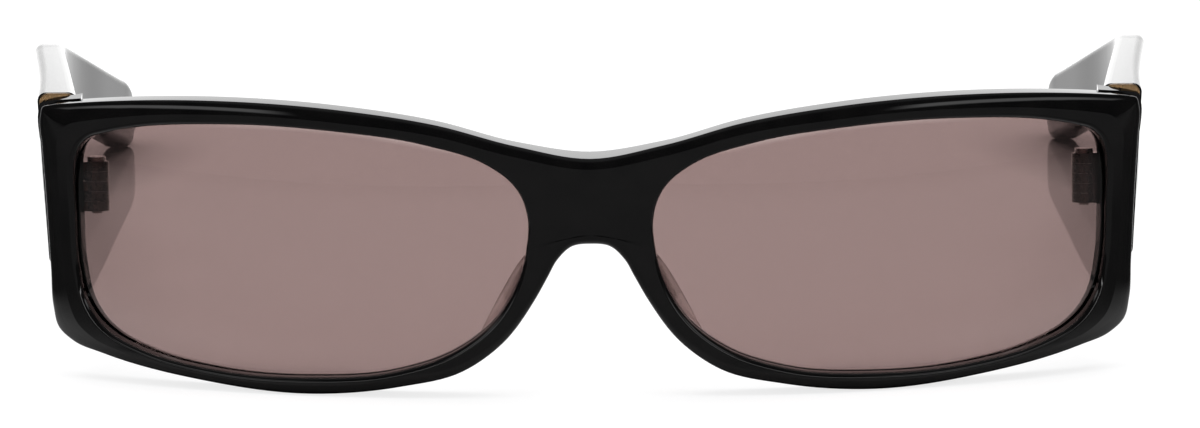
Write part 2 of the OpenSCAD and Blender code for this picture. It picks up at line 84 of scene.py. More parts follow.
# Matching points of the outer edge and of the lens opening, as shares of the sizes above,
# clockwise from the middle of the brow, and then the points of the opening beside the bridge
BROW_SHARES = [
    ((0.000, 0.000), (-0.926, 0.552)), ((0.131, 0.238), (-0.835, 0.680)),
    ((0.276, 0.639), (-0.551, 0.858)), ((0.442, 0.890), (-0.166, 0.958)),
    ((0.649, 1.000), (0.334, 0.988)), ((0.856, 0.895), (0.765, 0.906)),
    ((0.943, 0.783), (0.858, 0.860)), ((0.983, 0.713), (0.924, 0.815)),
]
SIDE_SHARES = [
    ((0.996, 0.938), (0.968, 0.736)), ((1.000, 0.913), (0.991, 0.630)),
    ((0.998, 0.799), (0.999, 0.484)), ((0.994, 0.683), (0.995, 0.250)),
    ((0.986, 0.374), (0.982, -0.270)), ((0.983, 0.250), (0.955, -0.501)),
    ((0.973, 0.176), (0.906, -0.656)), ((0.946, 0.133), (0.826, -0.782)),
    ((0.893, 0.100), (0.709, -0.878)), ((0.706, 0.030), (0.361, -1.012)),
    ((0.511, 0.000), (-0.033, -1.039)), ((0.345, 0.031), (-0.417, -0.974)),
    ((0.233, 0.084), (-0.687, -0.800)),
]
NOSE_SHARES = [
    ((1.420, 0.350), (-0.838, -0.588)), ((0.905, 0.631), (-0.945, -0.286)),
    ((0.691, 0.785), (-0.973, -0.140)), ((0.537, 0.896), (-0.985, -0.049)),
    ((0.300, 0.984), (-0.990, 0.012)), ((0.000, 1.000), (-0.995, 0.073)),
]
MIDDLE_SHARES = [(-1.000, 0.201), (-0.988, 0.348), (-0.961, 0.468)]
# Temple sections: shares of the length, the splay, the turn inwards, the ear's drop, the extra
# size of the front end, and the full section
TEMPLE_SHARES = [
    (0.000, 0.000, 0.00, 0.000, 1.00, 1.00), (0.040, 0.054, 0.00, 0.000, 0.90, 1.00),
    (0.120, 0.163, 0.00, 0.000, 0.68, 1.00), (0.250, 0.339, 0.00, 0.000, 0.38, 1.00),
    (0.450, 0.611, 0.00, 0.000, 0.13, 1.00), (0.620, 0.842, 0.00, 0.000, 0.03, 1.00),
    (0.670, 0.908, 0.00, 0.000, 0.00, 1.00), (0.725, 0.978, 0.03, 0.040, 0.00, 1.00),
    (0.770, 1.000, 0.13, 0.160, 0.00, 1.00), (0.880, 1.000, 0.54, 0.565, 0.00, 1.00),
    (0.953, 1.000, 0.815, 0.83, 0.00, 1.00), (0.970, 1.000, 0.88, 0.890, 0.00, 1.00),
    (0.983, 1.000, 0.93, 0.940, 0.00, 0.92), (0.992, 1.000, 0.97, 0.970, 0.00, 0.71),
    (0.997, 1.000, 0.99, 0.990, 0.00, 0.45), (1.000, 1.000, 1.00, 1.000, 0.00, 0.20),
]

# How far round the outer bevel turns from the wall before it meets the face at a crease, and how
# many matching points before the nose that crease starts to fade
BEVEL_ARC, CREASE_STOP = math.radians(45), 3
# How fine the pieces are made, and over which angles their edges stay sharp
OUTLINE_STEPS, BEVEL_STEPS, BACK_STEPS = 8, 10, 3
TEMPLE_STEPS, CORNER_STEPS = 6, 6
LENS_RINGS, PAD_STEPS, PAD_CURVE, PAD_END_SHARE = 14, 28, 6, 0.02
SMOOTH_ANGLE, PAD_SMOOTH_ANGLE, SOFT_ANGLE = math.radians(32), math.radians(50), math.radians(40)
# Over what stretch the insets of the outer edge are evened out
SPREAD_REACH, SPREAD_STEPS, END_STEPS = 0.9, 12, 14
# Points closer than this are one, and a cutter reaches this far past what it cuts
TOUCH, OVERRUN = 0.001, 1.0

EYE_X = (BRIDGE_GAP + LENS_W) / 2
HALF_W = EYE_X + LENS_W / 2 + RIM_SIDE_W
RIM_TOP_Z = LENS_H / 2 + RIM_TOP_W
RIM_BOTTOM_Z = -LENS_H / 2 - RIM_BOTTOM_W
BROW_Z = ARCH_Z + BRIDGE_H


# Curves
def lean_at(p, i):
    before, after = p[i] - p[i - 1], p[i + 1] - p[i]
    a, b = before.length, after.length
    return (before * b / a + after * a / b) / (a + b)


def curve(p, steps):
    """A smooth curve through p. The first and last point only steer the ends."""
    made = []
    for i in range(1, len(p) - 2):
        reach = (p[i + 1] - p[i]).length
        for k in range(steps):
            s = k / steps
            made.append(
                p[i] * (2 * s**3 - 3 * s**2 + 1) + p[i + 1] * (3 * s**2 - 2 * s**3)
                + lean_at(p, i) * reach * (s**3 - 2 * s**2 + s)
                + lean_at(p, i + 1) * reach * (s**3 - s**2))
    made.append(p[-2])
    return made


def opening_point(share):
    return Vector((EYE_X + share[0] * LENS_W / 2, share[1] * LENS_H / 2))


def outer_points():
    """The outer edge, from the middle of the brow round the side to the middle of the nose arch."""
    stretches = (
        (BROW_SHARES, HALF_W, BROW_Z, RIM_TOP_Z),
        (SIDE_SHARES, HALF_W, RIM_BOTTOM_Z, RIM_TOP_Z),
        (NOSE_SHARES, BRIDGE_GAP / 2, RIM_BOTTOM_Z, ARCH_Z),
    )
    return [Vector((x * width, low + z * (high - low)))
            for shares, width, low, high in stretches for (x, z), _ in shares]


def across(p):
    return Vector((-p.x, p.y))


def loops():
    """The outer edge and the opening as closed loops of equal length, and how many points of the
    first come before the middle plane."""
    outer = outer_points()
    inner = [opening_point(r[1]) for r in BROW_SHARES + SIDE_SHARES + NOSE_SHARES]
    middle = [opening_point(s) for s in MIDDLE_SHARES]
    outer_curve = curve([across(outer[1])] + outer + [across(outer[-2])], OUTLINE_STEPS)
    ring = curve([middle[-1]] + inner + middle + inner[:2], OUTLINE_STEPS)[:-1]
    plane_n = len(ring) - len(outer_curve)
    plane = [Vector((0, ARCH_Z + BRIDGE_H * k / (plane_n + 1))) for k in range(1, plane_n + 1)]
    return outer_curve + plane, ring, len(outer_curve)


OUTER, INNER, CURVE_N = loops()
LOOP_N = len(OUTER)
CREASE_N = (len(BROW_SHARES + SIDE_SHARES) - CREASE_STOP) * OUTLINE_STEPS


def aside(p, i):
    t = p[(i + 1) % len(p)] - p[i - 1]
    return Vector((-t.y, t.x)).normalized()


def spread(p, into, reach):
    """The directions evened out along the loop, so that an inset of a tight corner doesn't cross itself."""
    made = []
    for i, here in enumerate(p):
        total = Vector((0, 0))
        for k in range(-SPREAD_STEPS, SPREAD_STEPS + 1):
            j = (i + k) % len(p)
            gap = (p[j] - here).length
            span = (p[(j + 1) % len(p)] - p[j - 1]).length
            total += into[j] * span * math.exp(-((gap / reach) ** 2))
        made.append(total.normalized())
    return made


def outer_directions():
    plane_n = LOOP_N - CURVE_N
    into = [-aside(OUTER, i) for i in range(LOOP_N)]
    into[0], into[CURVE_N - 1] = Vector((0, -1)), Vector((0, 1))
    evened = spread(OUTER[:CURVE_N], into[:CURVE_N], SPREAD_REACH)
    for i in range(CURVE_N):
        share = min(i, CURVE_N - 1 - i) / END_STEPS
        if share < 1:
            evened[i] = (into[i] * (1 - share) + evened[i] * share).normalized()
    evened[0], evened[-1] = into[0], into[CURVE_N - 1]
    return evened + [Vector((0, 1 - 2 * (k + 1) / (plane_n + 1))) for k in range(plane_n)]


INNER_IN = [aside(INNER, i) for i in range(LOOP_N)]
OUTER_IN = outer_directions()


# The bend, and the sheet's thickness
def bend_a(x):
    return math.asin(max(abs(x) - WRAP_FLAT, 0) / WRAP_R)


def bend_y(x):
    return WRAP_R * (1 - math.cos(bend_a(x)))


def bent(p, w):
    a = bend_a(p.x)
    return Vector((p.x - w * math.sin(a), bend_y(p.x) + w * math.cos(a), p.y))


def fade(s):
    """From 1 at 0 smoothly down to 0 at 1."""
    return (1 + math.cos(math.pi * max(min(s, 1), 0))) / 2


def sheet_t(p):
    sideways = fade(abs(p.x) / (THICK_SHARE * BRIDGE_GAP))
    return RIM_T + (BRIDGE_T - RIM_T) * sideways * fade((ARCH_Z - p.y) / PAD_BELOW_ARCH)


LENS_BULGE = LENS_R - math.sqrt(LENS_R**2 - LENS_H**2 / 4)
EYE_A = bend_a(EYE_X)
EYE_C = bent(Vector((EYE_X, 0)), LENS_PLACE_SHARE * RIM_T)
LENS_C = EYE_C + (LENS_R - LENS_BULGE) * Vector((-math.sin(EYE_A), math.cos(EYE_A), 0))


def lens_depth(p):
    """How deep the lens's middle sphere lies behind the face there."""
    a, q = bend_a(p.x), bent(p, 0) - LENS_C
    b = q.dot(Vector((-math.sin(a), math.cos(a), 0)))
    return -b - math.sqrt(b * b - q.dot(q) + LENS_R**2)


def inset(edge, into, d):
    return [p + n * d for p, n in zip(edge, into)]


def face_loop(edge, into, d, w):
    return [bent(p, w) for p in inset(edge, into, d)]


def back_loop(edge, into, d, w):
    return [bent(p, sheet_t(p) - w) for p in inset(edge, into, d)]


def bevel_loop(creased, rounded):
    """The outer bevel widens from one width at the bridge to a share of the rim further out.
    Towards the nose its crease fades into a full rounding."""
    made = []
    for i, (p, n, q) in enumerate(zip(OUTER, OUTER_IN, INNER)):
        m = 1 - fade((p.x - BRIDGE_GAP) / BRIDGE_GAP)
        c = fade((i - CREASE_N) / (2 * OUTLINE_STEPS))
        u, v = (c * a + (1 - c) * b for a, b in zip(creased, rounded))
        made.append(bent(p + u * ((1 - m) * FACE_BEVEL_W * n + m * BEVEL_SHARE * (q - p)), v * FACE_BEVEL_D))
    return made


def lens_loop(edge, into, d, w):
    return [bent(p, lens_depth(p) + w) for p in inset(edge, into, d)]


def rounding(steps, arc=math.pi / 2):
    """Steps of a rounded edge, as shares of its width and of its depth, from the wall to the face."""
    made = []
    for k in range(steps + 1):
        a = arc * k / steps
        made.append(((1 - math.cos(a)) / (1 - math.cos(arc)), 1 - math.sin(a) / math.sin(arc)))
    return made


def rim_loops():
    """The rings of the rim, from the groove over the back and the outer edge to the face and the
    opening, and which of them is the crease."""
    half = LENS_T / 2 + LENS_CLEAR
    back = rounding(BACK_STEPS)
    made = [lens_loop(INNER, INNER_IN, d, w)
            for d, w in ((0, -half), (GROOVE_D, -half), (GROOVE_D, half), (0, half))]
    made += [back_loop(INNER, INNER_IN, u * BACK_BEVEL, v * BACK_BEVEL) for u, v in back]
    made += [back_loop(OUTER, OUTER_IN, u * BACK_BEVEL, v * BACK_BEVEL) for u, v in reversed(back)]
    made += [bevel_loop(a, b) for a, b in zip(rounding(BEVEL_STEPS, BEVEL_ARC), rounding(BEVEL_STEPS))]
    crease = len(made) - 1
    made += [face_loop(INNER, INNER_IN, u * LENS_BEVEL_W, v * LENS_BEVEL_D)
             for u, v in reversed(rounding(BEVEL_STEPS))]
    return made, crease


# From the upright front to the standing glasses: the joints of the frame say how they are tilted
HINGE_X = HALF_W - HINGE_INSET
HINGE_Y = bend_y(HINGE_X) + HINGE_BACK
HINGE_P = Vector((HINGE_X, HINGE_Y, HINGE_Z))
left_fold = next(j for j in frame["joints"] if j["child"] == "temple_left")
TILT = math.atan2(left_fold["axis"][1], left_fold["axis"][2]) - TEMPLE_LEAN
TURN = Matrix.Rotation(-TILT, 4, "X")
STAND = Matrix.Translation(Vector(left_fold["pos_m"]) / MM - TURN @ HINGE_P) @ TURN
TO_HINGE = Matrix.Translation(HINGE_P) @ Matrix.Rotation(-TEMPLE_LEAN, 4, "X")
TO_EYE = Matrix.Translation(EYE_C) @ Matrix.Rotation(EYE_A, 4, "Z")
SIDES = {"left": Matrix.Identity(4), "right": Matrix.Scale(-1, 4, (1, 0, 0))}


# Meshes
def add_object(name, data):
    made = bpy.data.objects.new(name, data)
    bpy.context.scene.collection.objects.link(made)
    return made


def finish_mesh(name, bm, place, sharp=SMOOTH_ANGLE):
    """An object from the mesh, moved from the upright front's millimetres into the world's metres."""
    bm.transform(Matrix.Scale(MM, 4) @ STAND @ place)
    bmesh.ops.recalc_face_normals(bm, faces=bm.faces)
    for face in bm.faces:
        face.smooth = True
    for edge in bm.edges:
        edge.smooth = len(edge.link_faces) == 2 and edge.calc_face_angle(0) < sharp and not edge.seam
    mesh = bpy.data.meshes.new(name)
    bm.to_mesh(mesh)
    bm.free()
    return add_object(name, mesh)


def add_tube(bm, rings, closed):
    """Rings of equal length joined one to the next, and the last to the first if closed."""
    rows = [[bm.verts.new(p) for p in ring] for ring in rings]
    pairs = list(zip(rows, rows[1:])) + ([(rows[-1], rows[0])] if closed else [])
    for a, b in pairs:
        for i in range(len(a)):
            j = (i + 1) % len(a)
            bm.faces.new((a[i], a[j], b[j], b[i]))
    return rows


def even_faces(made):
    """Large faces stay flat beside small rounded ones."""
    weighted = made.modifiers.new("even", "WEIGHTED_NORMAL")
    weighted.keep_sharp = True


def soften(made, width, steps=2):
    bevel = made.modifiers.new("soft", "BEVEL")
    bevel.width = width * MM
    bevel.segments = steps
    bevel.limit_method = "ANGLE"
    bevel.angle_limit = SOFT_ANGLE
    even_faces(made)


def cut(made, name, low, high, place):
    """Takes the box from low to high out of the mesh."""
    bm = bmesh.new()
    bmesh.ops.create_cube(bm, size=1)
    size = [b - a for a, b in zip(low, high)]
    middle = [(a + b) / 2 for a, b in zip(low, high)]
    bm.transform(Matrix.Translation(middle) @ Matrix.Diagonal((*size, 1)))
    cutter = finish_mesh(name, bm, place)
    boolean = made.modifiers.new("cut", "BOOLEAN")
    boolean.operation, boolean.solver, boolean.object = "DIFFERENCE", "EXACT", cutter
    shown = made.evaluated_get(bpy.context.evaluated_depsgraph_get())
    mesh = bpy.data.meshes.new_from_object(shown)
    made.modifiers.remove(boolean)
    made.data = mesh
    bpy.data.objects.remove(cutter)


def build_rim():
    bm = bmesh.new()
    rings, crease = rim_loops()
    for side in (1, -1):
        rows = add_tube(bm, [[Vector((side * p.x, p.y, p.z)) for p in ring] for ring in rings], True)
        line = rows[crease][:CREASE_N + OUTLINE_STEPS]
        for a, b in zip(line, line[1:]):
            bm.edges.get((a, b)).seam = True
    flat = [f for f in bm.faces if all(abs(v.co.x) < TOUCH for v in f.verts)]
    bmesh.ops.delete(bm, geom=flat, context="FACES")
    bmesh.ops.remove_doubles(bm, verts=[v for v in bm.verts if abs(v.co.x) < TOUCH], dist=TOUCH)
    made = finish_mesh("front_rim", bm, Matrix.Identity(4))
    even_faces(made)
    return made


# From the hinge's axis to the inner face of the temple, and the height of the seats of the leaves
FACE_GAP = BARREL_R + BARREL_OUT
SEAT_H = LEAF_H + 2 * SEAT_CLEAR


def build_endpiece(side):
    """The block behind the corner of the front that the temple closes against."""
    place = SIDES[side]
    x_in = HINGE_X + FACE_GAP
    low = HINGE_Z + TEMPLE_TOP - BUTT_H - BLOCK_SPARE_H
    edge = inset(OUTER, OUTER_IN, -BLOCK_PROUD)[:CURVE_N]
    edge = [p for p in edge if p.x > x_in - BLOCK_SPARE_W and p.y > low]
    edge = [Vector((x_in, edge[0].y))] + edge + [Vector((x_in, edge[-1].y))]
    edge = [p for p in edge if p.x >= x_in]
    bm = bmesh.new()
    front = [Vector((p.x, bend_y(p.x) + BLOCK_SHARE * RIM_T, p.y)) for p in edge]
    middle = [Vector((p.x, HINGE_Y + (p.y - HINGE_Z) * math.tan(TEMPLE_LEAN), p.y)) for p in edge]
    back = [p + Vector((0, BUTT_H / 2, 0)) for p in middle]
    rows = add_tube(bm, [front, middle, back], False)
    bm.faces.new(rows[0])
    bm.faces.new(reversed(rows[2]))
    bmesh.ops.recalc_face_normals(bm, faces=bm.faces)
    for at, normal in (((0, 0, TEMPLE_TOP - BUTT_H), (0, 0, -1)), ((0, 0, 0), (0, 1, 0))):
        sliced = bmesh.ops.bisect_plane(
            bm, geom=bm.verts[:] + bm.edges[:] + bm.faces[:], dist=TOUCH / 100,
            plane_co=TO_HINGE @ Vector(at), plane_no=TO_HINGE.to_3x3() @ Vector(normal), clear_outer=True)
        edges = [e for e in sliced["geom_cut"] if isinstance(e, bmesh.types.BMEdge)]
        bmesh.ops.edgeloop_fill(bm, edges=edges)
    made = finish_mesh("endpiece_" + side, bm, place)
    leaf_w = BUTT_T * FRONT_LEAF_SHARE
    cut(made, "leaf_seat", (FACE_GAP - OVERRUN, -LEAF_T - SEAT_CLEAR, -SEAT_H / 2),
        (FACE_GAP + leaf_w + SEAT_CLEAR, OVERRUN, SEAT_H / 2), place @ TO_HINGE)
    soften(made, SOFT_ACETATE)
    return made


def build_lens(side):
    """A spherical shell, in rings from its middle to its edge so that it is smooth."""
    turned = TO_EYE.inverted()
    outline = [turned @ p for p in lens_loop(INNER, INNER_IN, LENS_SEAT, 0)]
    outline = [Vector((p.x, p.z)) for p in outline]
    bm = bmesh.new()
    skins = []
    for r in (LENS_R + LENS_T / 2, LENS_R - LENS_T / 2):
        rings = []
        for k in range(1, LENS_RINGS + 1):
            ring = [p * k / LENS_RINGS for p in outline]
            rings.append([Vector((p.x, LENS_R - LENS_BULGE - math.sqrt(r * r - p.dot(p)), p.y))
                          for p in ring])
        rows = add_tube(bm, rings, False)
        centre = bm.verts.new((0, LENS_R - LENS_BULGE - r, 0))
        for i in range(LOOP_N):
            bm.faces.new((rows[0][i], rows[0][(i + 1) % LOOP_N], centre))
        skins.append(rows[-1])
    for i in range(LOOP_N):
        j = (i + 1) % LOOP_N
        bm.faces.new((skins[0][i], skins[0][j], skins[1][j], skins[1][i]))
    return finish_mesh("lens_glass_" + side, bm, SIDES[side] @ TO_EYE)


def side_x(z, column):
    """Where the nose edge or the opening beside it is at that height."""
    edge = [p for p in column if p.x < BRIDGE_GAP and p.y < BROW_Z / 2]
    below = max((p for p in edge if p.y <= z), key=lambda p: p.y)
    above = min((p for p in edge if p.y > z), key=lambda p: p.y)
    share = (z - below.y) / (above.y - below.y)
    return below.x + (above.x - below.x) * share


def pad_section(s):
    """A level section of the pad at that share of its height: a fin that leans away from the nose."""
    z = ARCH_Z - PAD_BELOW_ARCH - PAD_H * s
    out = math.sqrt(math.sin(math.pi * s))
    a = side_x(z, OUTER[:CURVE_N]) + BACK_BEVEL
    b = side_x(z, INNER[:CURVE_N]) - BACK_BEVEL
    d, c, h = PAD_D * out, (a + b) / 2 + PAD_LEAN * out, PAD_EDGE_T / 2
    line = [(b, -RIM_T), (b, 0), ((b + c + h) / 2, d / 2), (c + h, d * PAD_ROUND_SHARE), (c, d),
            (c - h, d * PAD_ROUND_SHARE), ((a + c - h) / 2, d / 2), (a, 0), (a, -RIM_T)]
    return [Vector((p.x, RIM_T + p.y, z)) for p in curve([Vector(q) for q in line], PAD_CURVE)]


def build_pad(side):
    bm = bmesh.new()
    turns = [(1 - math.cos(math.pi * k / PAD_STEPS)) / 2 for k in range(PAD_STEPS + 1)]
    shares = [PAD_END_SHARE + (1 - 2 * PAD_END_SHARE) * turn for turn in turns]
    rows = add_tube(bm, [pad_section(s) for s in shares], False)
    bm.faces.new(rows[0])
    bm.faces.new(reversed(rows[-1]))
    return finish_mesh("nose_rest_" + side, bm, SIDES[side], PAD_SMOOTH_ANGLE)


def oblong(h, t, r):
    """A rectangle with rounded corners, around zero."""
    made = []
    for sx, sy, turn in ((1, 1, 0), (-1, 1, 90), (-1, -1, 180), (1, -1, 270)):
        for k in range(CORNER_STEPS + 1):
            a = math.radians(turn + 90 * k / CORNER_STEPS)
            made.append((sx * (t / 2 - r) + r * math.cos(a), sy * (h / 2 - r) + r * math.sin(a)))
    return made


BUTT_X = FACE_GAP + BUTT_T / 2
TEMPLE_Y = JOINT_GAP + END_PLATE_T


def temple_row(shares):
    """The temple there: how far along, aside and up its middle lies, its height and its thickness."""
    along, splay, turn_in, drop, size, full = shares
    h = ARM_H + (BUTT_H - ARM_H) * size
    t = ARM_T + (BUTT_T - ARM_T) * size
    return Vector((TEMPLE_Y + along * (TEMPLE_L - TEMPLE_Y), BUTT_X + SPLAY * splay - TURN_IN * turn_in,
                   TEMPLE_TOP - EAR_DROP * drop - h / 2, h * full, t * math.sqrt(full)))


def canted(x, z, h):
    """The tall front end of the temple leans outwards at its top."""
    return x + BUTT_CANT * z / BUTT_H * max(h - ARM_H, 0) / (BUTT_H - ARM_H)


def temple_section(row):
    along, aside_x, up, h, t = row
    corner = min(EDGE_R, TIP_SHARE * t / 2)
    return [Vector((canted(aside_x + x, up + z, h), along, up + z)) for x, z in oblong(h, t, corner)]


def leaf_turn(rows):
    """How far the inner face of the temple, and the leaf in it, turn outwards from the hinge."""
    first, third = rows[0], rows[2]
    return math.atan(((third[1] - third[4] / 2) - (first[1] - first[4] / 2)) / (third[0] - first[0]))


def build_temple(side):
    rows = [temple_row(shares) for shares in TEMPLE_SHARES]
    path = curve([2 * rows[0] - rows[1]] + rows + [2 * rows[-1] - rows[-2]], TEMPLE_STEPS)
    # The front end has a small chamfer
    first = path[0].copy()
    inner = Vector((*first[:3], first[3] - 2 * SOFT_ACETATE, first[4] - 2 * SOFT_ACETATE))
    first[0] += SOFT_ACETATE
    path = [inner, first] + [q for q in path[1:] if q[0] > first[0] + SOFT_ACETATE]
    bm = bmesh.new()
    ends = add_tube(bm, [temple_section(q) for q in path], False)
    bm.faces.new(ends[0])
    bm.faces.new(reversed(ends[-1]))
    place = SIDES[side] @ TO_HINGE
    made = finish_mesh("temple_arm_" + side, bm, place)
    turn = leaf_turn(rows)
    seat = Matrix.Translation((FACE_GAP, JOINT_GAP + LEAF_T * math.sin(turn), 0))
    cut(made, "leaf_seat", (-OVERRUN, -OVERRUN, -SEAT_H / 2),
        (LEAF_T + SEAT_CLEAR, LEAF_L + SEAT_CLEAR, SEAT_H / 2), place @ seat @ Matrix.Rotation(-turn, 4, "Z"))
    even_faces(made)
    return made


def build_plate(side):
    """The metal plate on the front end of the temple, with softened edges and the same seat for the leaf."""
    _, aside_x, up, h, t = temple_row(TEMPLE_SHARES[0])
    rings = []
    for depth, small in PLATE_EDGE:
        row = (JOINT_GAP + depth, aside_x, up, h - 2 * small, t - PLATE_NARROWER - 2 * small)
        rings.append(temple_section(row))
    bm = bmesh.new()
    ends = add_tube(bm, rings, False)
    bm.faces.new(ends[0])
    bm.faces.new(reversed(ends[-1]))
    place = SIDES[side] @ TO_HINGE
    made = finish_mesh("end_plate_" + side, bm, place)
    cut(made, "leaf_seat", (0, -OVERRUN, -SEAT_H / 2),
        (FACE_GAP + LEAF_T + SEAT_CLEAR, TEMPLE_Y + OVERRUN, SEAT_H / 2), place)
    even_faces(made)
    return made


# Colours and surfaces
BLACK, BLACK_CLOUD = (0.0020, 0.0020, 0.0022), (0.0046, 0.0043, 0.0044)
LENS_TINT, LENS_SHADOW = (0.340, 0.237, 0.226), (0.42, 0.32, 0.30)
PAD_CLEAR, PAD_CLOUD = (0.97, 0.95, 0.93), (0.90, 0.87, 0.84)
# The pads' colours include a painted dark edge shade and the tint of their shadows
PAD_PAINTED_EDGE_SHADE, PAD_SHADOW = (0.10, 0.045, 0.045), (0.8, 0.78, 0.76)
ACETATE_IOR, LENS_IOR, TABLE_IOR = 1.49, 1.5, 1.5
# How fine the noise is, in waves to the metre, and the range that most of it keeps to
GRAIN, SWIRL, WAVES = 260, 900, 120
PAD_GRAIN, PAD_WAVES, BRUSH = 400, 150, 1800
NOISE_RANGE = (0.3, 0.7)
# How deep waves and brushing are, in metres, and how much of that shows
WAVE_D, BRUSH_D = 0.00002, 0.00001
WAVES_SHOWN, PAD_WAVES_SHOWN, BRUSH_SHOWN = 0.08, 0.1, 0.25
ACETATE_ROUGH, METAL_ROUGH_SPREAD = (0.03, 0.06), 0.08
# The lens is denser from one share of its height to the other, by this factor
LENS_DENSER, LENS_DENSER_RANGE = 0.95, (0.2, 1.0)
# Where the painted dark edge shade of a pad starts and where it is full, as the skin turns aside from the camera
PAD_PAINTED_EDGE_SHADE_RANGE = (0.35, 0.80)
# Name, dark and light colour, roughness, and how the brushing is stretched
METALS = {
    "hinge_metal": ("dark_nickel", (0.045, 0.038, 0.034), (0.10, 0.09, 0.08), 0.30, (1, 0.15, 1)),
    "screw_metal": ("screw_steel", (0.30, 0.29, 0.28), (0.42, 0.41, 0.40), 0.28, (0.2, 1, 1)),
    "end_plate_metal": ("bronze", (0.22, 0.13, 0.065), (0.40, 0.26, 0.13), 0.30, (1, 1, 0.12)),
    "wire_metal": ("nickel_silver", (0.48, 0.47, 0.45), (0.62, 0.61, 0.59), 0.30, (1, 0.1, 1)),
}


# Nodes
def new_material(name):
    made = bpy.data.materials.new(name)
    made.use_nodes = True
    nodes = made.node_tree.nodes
    nodes.clear()
    shader = nodes.new("ShaderNodeBsdfPrincipled")
    output = nodes.new("ShaderNodeOutputMaterial")
    made.node_tree.links.new(shader.outputs["BSDF"], output.inputs["Surface"])
    return made, made.node_tree, shader, output


def coordinates(tree, kind):
    """X, Y and Z of the texture coordinates of that kind."""
    place = tree.nodes.new("ShaderNodeTexCoord")
    parts = tree.nodes.new("ShaderNodeSeparateXYZ")
    tree.links.new(place.outputs[kind], parts.inputs["Vector"])
    return [parts.outputs[axis] for axis in "XYZ"]


def feed(tree, values, sockets):
    """A number is set on its socket, and an output is linked to it."""
    for value, socket in zip(values, sockets):
        if isinstance(value, (int, float)):
            socket.default_value = value
        else:
            tree.links.new(value, socket)


def math_node(tree, operation, *values):
    made = tree.nodes.new("ShaderNodeMath")
    made.operation = operation
    feed(tree, values, made.inputs)
    return made.outputs["Value"]


def product(tree, *values):
    made = values[0]
    for value in values[1:]:
        made = math_node(tree, "MULTIPLY", made, value)
    return made


def smooth(tree, value, ends, low, high):
    """From low to high, smoothly between those two ends of the value."""
    made = tree.nodes.new("ShaderNodeMapRange")
    made.interpolation_type = "SMOOTHSTEP"
    made.inputs["From Min"].default_value, made.inputs["From Max"].default_value = ends
    made.inputs["To Min"].default_value, made.inputs["To Max"].default_value = low, high
    tree.links.new(value, made.inputs["Value"])
    return made.outputs["Result"]


def blend(tree, share, a, b):
    """From number a where the share is 0 to number b where it is 1."""
    made = tree.nodes.new("ShaderNodeMix")
    feed(tree, (share, a, b), (made.inputs["Factor"], made.inputs["A"], made.inputs["B"]))
    return made.outputs["Result"]


def choose(tree, share, a, b, output):
    """Shader a where the share is 0 and shader b where it is 1."""
    mix = tree.nodes.new("ShaderNodeMixShader")
    feed(tree, (share, a, b), mix.inputs)
    tree.links.new(mix.outputs["Shader"], output.inputs["Surface"])


def noise(tree, scale, stretch=(1, 1, 1), detail=4):
    """Noise over the object's own coordinates, stretched along an axis where that number is small."""
    place = tree.nodes.new("ShaderNodeTexCoord")
    mapping = tree.nodes.new("ShaderNodeMapping")
    mapping.inputs["Scale"].default_value = stretch
    texture = tree.nodes.new("ShaderNodeTexNoise")
    texture.inputs["Scale"].default_value = scale
    texture.inputs["Detail"].default_value = detail
    tree.links.new(place.outputs["Object"], mapping.inputs["Vector"])
    tree.links.new(mapping.outputs["Vector"], texture.inputs["Vector"])
    return texture.outputs["Fac"]


def ramp(tree, value, low, high, ends=NOISE_RANGE):
    """From colour low to colour high between those two ends of the value."""
    made = tree.nodes.new("ShaderNodeValToRGB")
    made.color_ramp.elements[0].position, made.color_ramp.elements[1].position = ends
    made.color_ramp.elements[0].color, made.color_ramp.elements[1].color = (*low, 1), (*high, 1)
    tree.links.new(value, made.inputs["Fac"])
    return made.outputs["Color"]


def between(tree, value, low, high):
    """From low to high over the middle of the noise's range."""
    made = tree.nodes.new("ShaderNodeMapRange")
    made.inputs["From Min"].default_value, made.inputs["From Max"].default_value = NOISE_RANGE
    made.inputs["To Min"].default_value, made.inputs["To Max"].default_value = low, high
    tree.links.new(value, made.inputs["Value"])
    return made.outputs["Result"]


def bump(tree, value, height, strength):
    made = tree.nodes.new("ShaderNodeBump")
    made.inputs["Strength"].default_value = strength
    made.inputs["Distance"].default_value = height
    tree.links.new(value, made.inputs["Height"])
    return made.outputs["Normal"]


# Materials
def acetate_material():
    """Polished black acetate: a faint cloudy grain, and the fine swirls that polishing leaves."""
    made, tree, shader, _ = new_material("polished_acetate")
    tree.links.new(ramp(tree, noise(tree, GRAIN), BLACK, BLACK_CLOUD), shader.inputs["Base Color"])
    swirl = noise(tree, SWIRL, (1, 0.25, 1), 3)
    tree.links.new(between(tree, swirl, *ACETATE_ROUGH), shader.inputs["Roughness"])
    waves = bump(tree, noise(tree, WAVES, detail=1), WAVE_D, WAVES_SHOWN)
    tree.links.new(waves, shader.inputs["Normal"])
    shader.inputs["IOR"].default_value = ACETATE_IOR
    return made


def see_through(name, shadow_tint):
    """A clear material whose shadow is as light as its tint lets it be."""
    made, tree, shader, output = new_material(name)
    shader.inputs["Roughness"].default_value = 0.0
    shader.inputs["IOR"].default_value = LENS_IOR
    shader.inputs["Transmission Weight"].default_value = 1.0
    clear = tree.nodes.new("ShaderNodeBsdfTransparent")
    clear.inputs["Color"].default_value = (*shadow_tint, 1)
    rays = tree.nodes.new("ShaderNodeLightPath")
    choose(tree, rays.outputs["Is Shadow Ray"], shader.outputs["BSDF"], clear.outputs["BSDF"], output)
    return made, tree, shader


def lens_material():
    """Brown tinted lens, a little denser towards the top."""
    made, tree, shader = see_through("tinted_lens", LENS_SHADOW)
    height = coordinates(tree, "Generated")[2]
    denser = [LENS_DENSER * part for part in LENS_TINT]
    tint = ramp(tree, height, LENS_TINT, denser, LENS_DENSER_RANGE)
    tree.links.new(tint, shader.inputs["Base Color"])
    return made


